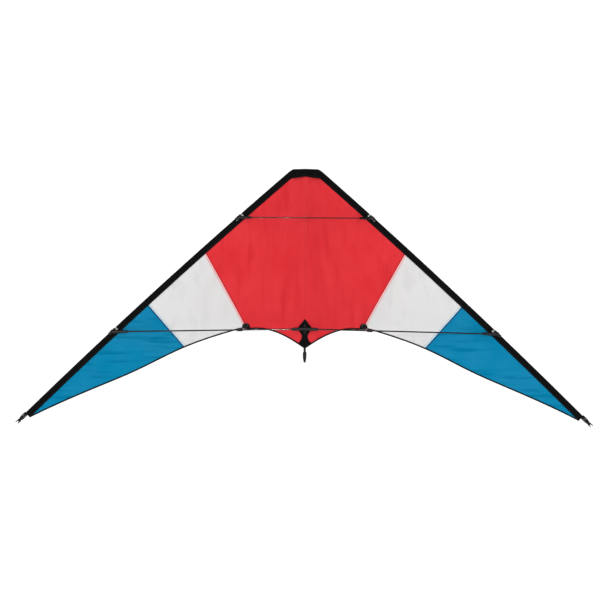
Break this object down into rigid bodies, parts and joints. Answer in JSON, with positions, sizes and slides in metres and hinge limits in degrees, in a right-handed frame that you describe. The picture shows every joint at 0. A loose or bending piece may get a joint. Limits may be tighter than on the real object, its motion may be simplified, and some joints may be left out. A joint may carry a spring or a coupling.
{
  "type": "delta kite",
  "caption": "Two-line delta stunt kite with a billowed ripstop sail on a rod frame, sewn edge sleeves, a moulded centre T and pivoting standoffs.",
  "frame": {"origin": "on the spine's axis, level with the middle of the centre fitting, where the bridle's centre leg ties", "axes": "+Z towards the nose, +X along the span to the wing on the right as the flyer sees it, -Y towards the flyer"},
  "size_m": [1.663, 0.0977, 0.7396],
  "materials": {
    "fibreglass_rod": "gloss",
    "ferrule_brass": "satin",
    "sleeve_cloth": "matte",
    "nose_webbing": "matte",
    "patch_cloth": "matte",
    "hem_tape": "matte",
    "moulded_fitting": "satin",
    "grey_clip": "satin",
    "nock_plastic": "satin",
    "vinyl_cap": "satin",
    "elastic_cord": "matte",
    "red_ripstop": "satin",
    "white_ripstop": "satin",
    "blue_ripstop": "satin"
  },
  "bodies": {
    "centre": {"spine_rod": "fibreglass_rod", "spine_nose_cap": "vinyl_cap", "spine_sleeve_upper": "sleeve_cloth", "spine_sleeve_lower": "sleeve_cloth", "centre_fitting": "moulded_fitting", "tail_nock": "nock_plastic", "tail_tension_cord": "elastic_cord"},
    "left_wing": {"left_blue_panel": "blue_ripstop", "left_centre_patch": "patch_cloth", "left_leading_edge_ferrule": "ferrule_brass", "left_leading_edge_lower_rod": "fibreglass_rod", "left_leading_edge_sleeve": "sleeve_cloth", "left_leading_edge_upper_rod": "fibreglass_rod", "left_lower_connector": "moulded_fitting", "left_lower_spreader": "fibreglass_rod", "left_lower_stop_clip": "grey_clip", "left_nose_webbing": "nose_webbing", "left_red_panel": "red_ripstop", "left_standoff_patch": "patch_cloth", "left_tip_nock": "nock_plastic", "left_tip_tension_cord": "elastic_cord", "left_trailing_edge_hem": "hem_tape", "left_upper_connector": "moulded_fitting", "left_upper_stop_clip": "grey_clip", "left_white_panel": "white_ripstop", "upper_spreader": "fibreglass_rod"},
    "right_wing": {"right_blue_panel": "blue_ripstop", "right_centre_patch": "patch_cloth", "right_leading_edge_ferrule": "ferrule_brass", "right_leading_edge_lower_rod": "fibreglass_rod", "right_leading_edge_sleeve": "sleeve_cloth", "right_leading_edge_upper_rod": "fibreglass_rod", "right_lower_connector": "moulded_fitting", "right_lower_spreader": "fibreglass_rod", "right_lower_stop_clip": "grey_clip", "right_nose_webbing": "nose_webbing", "right_red_panel": "red_ripstop", "right_standoff_patch": "patch_cloth", "right_tip_nock": "nock_plastic", "right_tip_tension_cord": "elastic_cord", "right_trailing_edge_hem": "hem_tape", "right_upper_connector": "moulded_fitting", "right_upper_stop_clip": "grey_clip", "right_white_panel": "white_ripstop"},
    "left_standoff": {"left_standoff_fitting": "moulded_fitting", "left_standoff_rod": "fibreglass_rod", "left_standoff_end_cap": "vinyl_cap"},
    "right_standoff": {"right_standoff_fitting": "moulded_fitting", "right_standoff_rod": "fibreglass_rod", "right_standoff_end_cap": "vinyl_cap"}
  },
  "joints": [
    {"name": "left_wing_fold", "type": "hinge", "parent": "centre", "child": "left_wing", "pos_m": [0, 0, 0], "axis": [0, 0, -1], "range_deg": [0, 55]},
    {"name": "right_wing_fold", "type": "hinge", "parent": "centre", "child": "right_wing", "pos_m": [0, 0, 0], "axis": [0, 0, 1], "range_deg": [0, 55]},
    {"name": "left_standoff_swing", "type": "hinge", "parent": "left_wing", "child": "left_standoff", "pos_m": [-0.187, -0.01, -0.00371], "axis": [-0.9998, 0, -0.0198], "range_deg": [0, 90]},
    {"name": "right_standoff_swing", "type": "hinge", "parent": "right_wing", "child": "right_standoff", "pos_m": [0.187, -0.01, -0.00371], "axis": [-0.9998, 0, 0.0198], "range_deg": [0, 90]}
  ]
}
